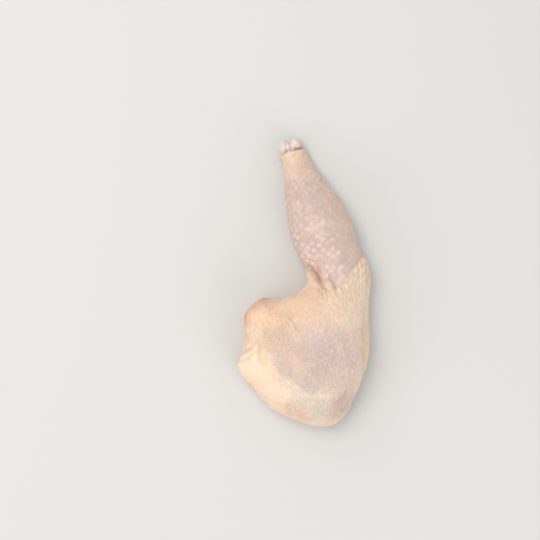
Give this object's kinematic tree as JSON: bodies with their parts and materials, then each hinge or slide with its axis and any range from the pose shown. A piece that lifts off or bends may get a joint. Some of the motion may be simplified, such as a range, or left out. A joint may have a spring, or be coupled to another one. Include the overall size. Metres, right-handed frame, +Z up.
{
  "type": "raw chicken leg quarter",
  "caption": "Raw chicken leg quarter with its skin on, lying skin side up: a broad rounded thigh, a bent knee and a tapering drumstick.",
  "frame": {"origin": "middle of the footprint, on the flat underside that it rests on", "axes": "+Z up out of the skin side, +Y from the thigh towards the hock, +X towards the outer side of the knee"},
  "size_m": [0.0912, 0.2034, 0.041],
  "materials": {
    "skin": "moist raw poultry skin, pale peach and cream over fat, mauve over the muscles, soft satin sheen",
    "meat": "moist raw dark poultry meat with pale seams of fat",
    "cartilage": "wet bluish white cartilage",
    "fat": "soft yellow fat, glossy"
  },
  "bodies": {
    "root": {"leg_quarter": "skin"}
  },
  "joints": []
}
